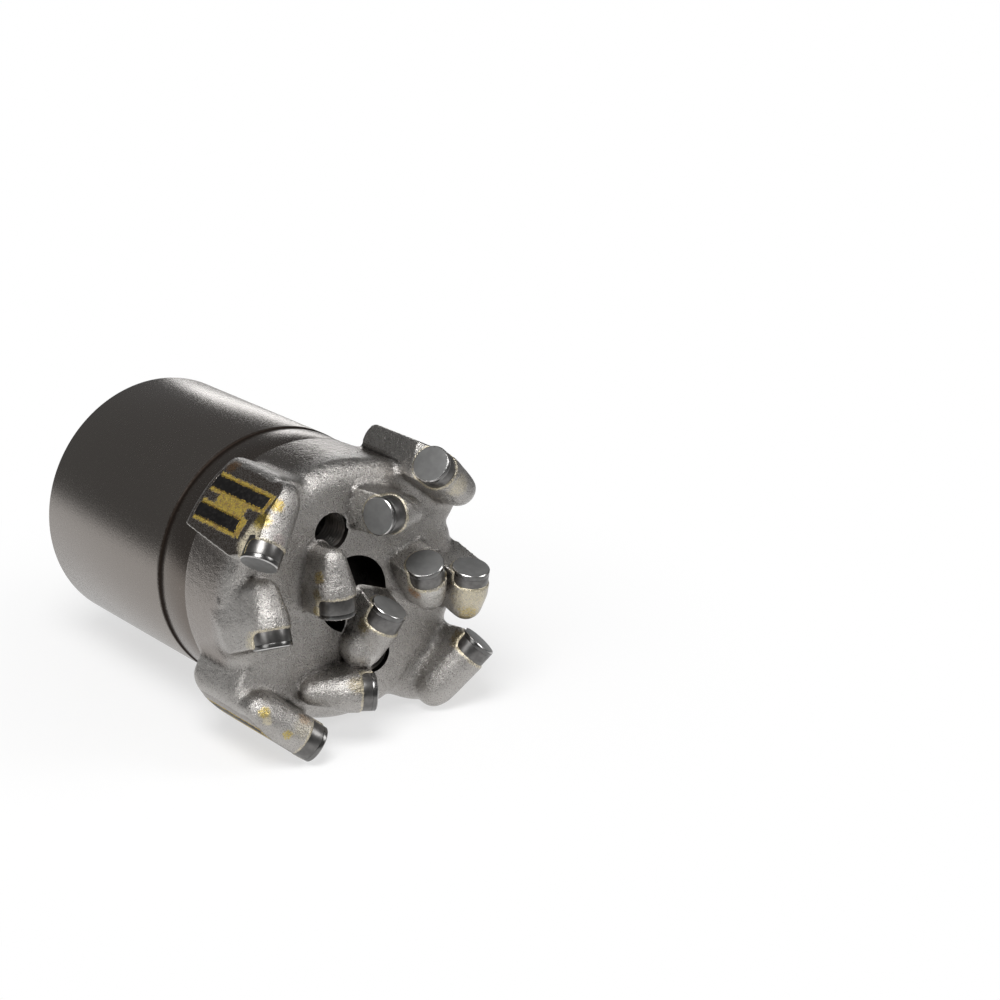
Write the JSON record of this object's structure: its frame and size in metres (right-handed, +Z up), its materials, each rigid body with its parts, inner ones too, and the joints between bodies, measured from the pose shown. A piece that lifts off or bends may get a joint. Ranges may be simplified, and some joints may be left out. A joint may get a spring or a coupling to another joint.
{
  "type": "pdc drill bit",
  "caption": "Short cylindrical steel drill bit with gauge wings, finger-like cutter posts, round diamond cutters, inlaid gauge strips, waterways and a box thread at the rear.",
  "frame": {"origin": "on the floor, under the middle of the whole part as it lies", "axes": "+X along the bit towards its cutting face, raised about a degree as the bit rests on its rear rim and two wings; +Z up; +Y to the left, seen from behind the bit"},
  "size_m": [0.1542, 0.1012, 0.1009],
  "materials": {
    "body_steel": "forged steel, oiled dark on the shank, blasted bright on the crown",
    "carbide": "ground tungsten carbide",
    "diamond_table": "lapped polycrystalline diamond, dark and mirror smooth",
    "gauge_carbide": "ground flush, dark"
  },
  "bodies": {
    "root": {"bit_body": "body_steel", "face_cutter_1_carbide": "carbide", "face_cutter_1_diamond": "diamond_table", "face_cutter_2_carbide": "carbide", "face_cutter_2_diamond": "diamond_table", "face_cutter_3_carbide": "carbide", "face_cutter_3_diamond": "diamond_table", "face_cutter_4_carbide": "carbide", "face_cutter_4_diamond": "diamond_table", "face_cutter_5_carbide": "carbide", "face_cutter_5_diamond": "diamond_table", "face_cutter_6_carbide": "carbide", "face_cutter_6_diamond": "diamond_table", "face_cutter_7_carbide": "carbide", "face_cutter_7_diamond": "diamond_table", "gauge_cutter_1_carbide": "carbide", "gauge_cutter_1_diamond": "diamond_table", "gauge_cutter_2_carbide": "carbide", "gauge_cutter_2_diamond": "diamond_table", "gauge_cutter_3_carbide": "carbide", "gauge_cutter_3_diamond": "diamond_table", "gauge_cutter_4_carbide": "carbide", "gauge_cutter_4_diamond": "diamond_table", "gauge_strip_1_long": "gauge_carbide", "gauge_strip_1_short": "gauge_carbide", "gauge_strip_2_long": "gauge_carbide", "gauge_strip_2_short": "gauge_carbide", "gauge_strip_3_long": "gauge_carbide", "gauge_strip_3_short": "gauge_carbide", "gauge_strip_4_long": "gauge_carbide", "gauge_strip_4_short": "gauge_carbide"}
  },
  "joints": []
}
